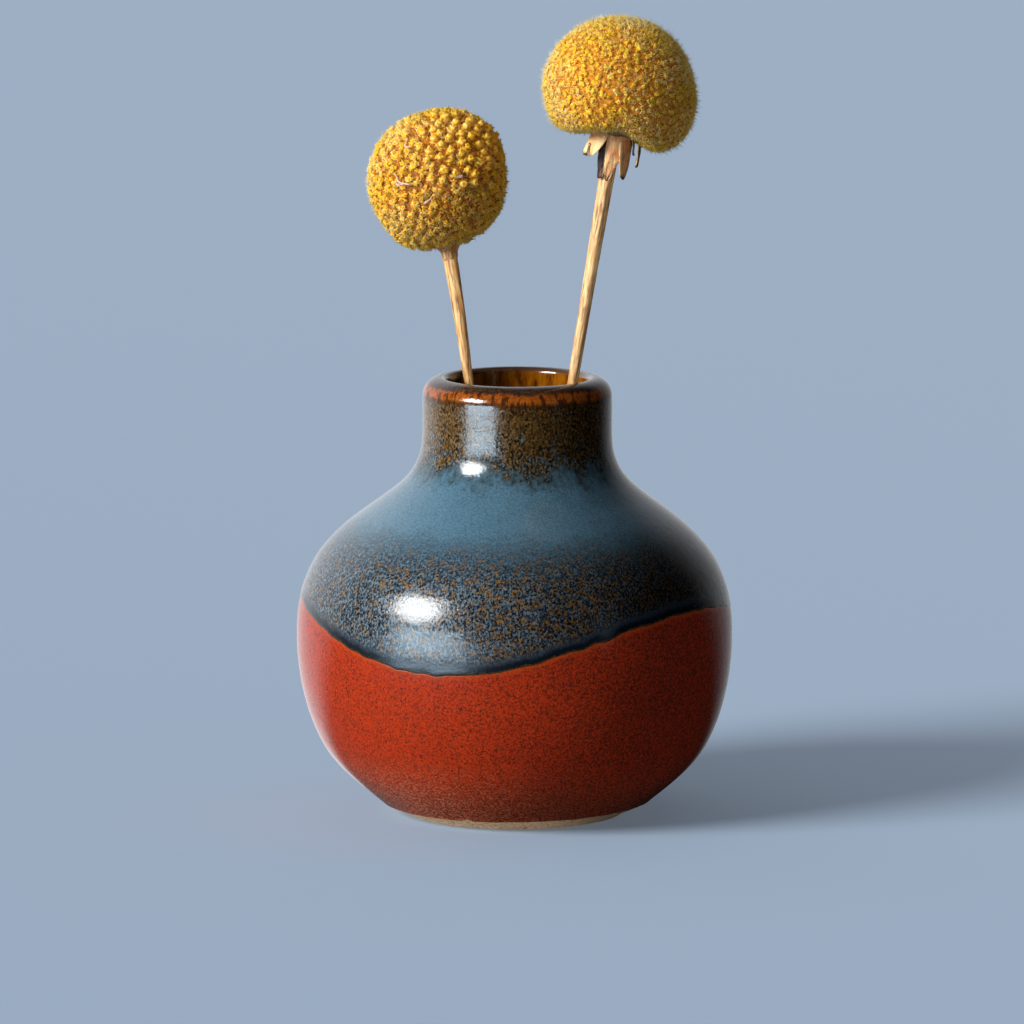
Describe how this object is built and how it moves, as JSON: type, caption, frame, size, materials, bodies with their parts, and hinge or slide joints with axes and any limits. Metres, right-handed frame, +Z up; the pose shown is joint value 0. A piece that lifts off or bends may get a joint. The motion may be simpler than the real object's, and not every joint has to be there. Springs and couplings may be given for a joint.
{
  "type": "bud vase",
  "caption": "Round-bellied glazed stoneware bud vase with a straight neck, two-tone dipped glaze over a bare clay foot, holding dried globe flowers that lift out.",
  "frame": {"origin": "centre of the foot ring, on the surface that the vase stands on", "axes": "+Z up along the pot's turning axis; -Y is the front, where the blue dip line hangs lowest a little to the left; +X to the right"},
  "size_m": [0.084, 0.084, 0.1545],
  "materials": {
    "bare_clay": "matte",
    "red_glaze": "satin",
    "blue_glaze": "satin",
    "amber_glaze": "gloss",
    "dry_stem": "matte",
    "dry_pith": "matte",
    "golden_florets": "matte",
    "ochre_florets": "matte",
    "papery_bract": "matte"
  },
  "bodies": {
    "vase": {"clay_body": "bare_clay", "lower_red_glaze": "red_glaze", "upper_blue_glaze": "blue_glaze", "inner_amber_glaze": "amber_glaze"},
    "left_flower": {"left_stem": "dry_stem", "left_receptacle": "dry_pith", "left_floret_globe": "golden_florets"},
    "right_flower": {"right_stem": "dry_stem", "right_receptacle": "dry_pith", "right_floret_dome": "ochre_florets", "bract_left_flap": "papery_bract", "bract_dark_strip": "papery_bract", "bract_front_sheath": "papery_bract", "bract_right_flap": "papery_bract", "bract_right_corner": "papery_bract", "bract_hanging_scale": "papery_bract"}
  },
  "joints": [
    {"name": "left_flower_lift", "type": "slide", "parent": "vase", "child": "left_flower", "axis": [-0.1258, 0.0655, 0.9899], "range_m": [0, 0.1]},
    {"name": "right_flower_lift", "type": "slide", "parent": "vase", "child": "right_flower", "axis": [0.1586, -0.0181, 0.9872], "range_m": [0, 0.1]}
  ]
}
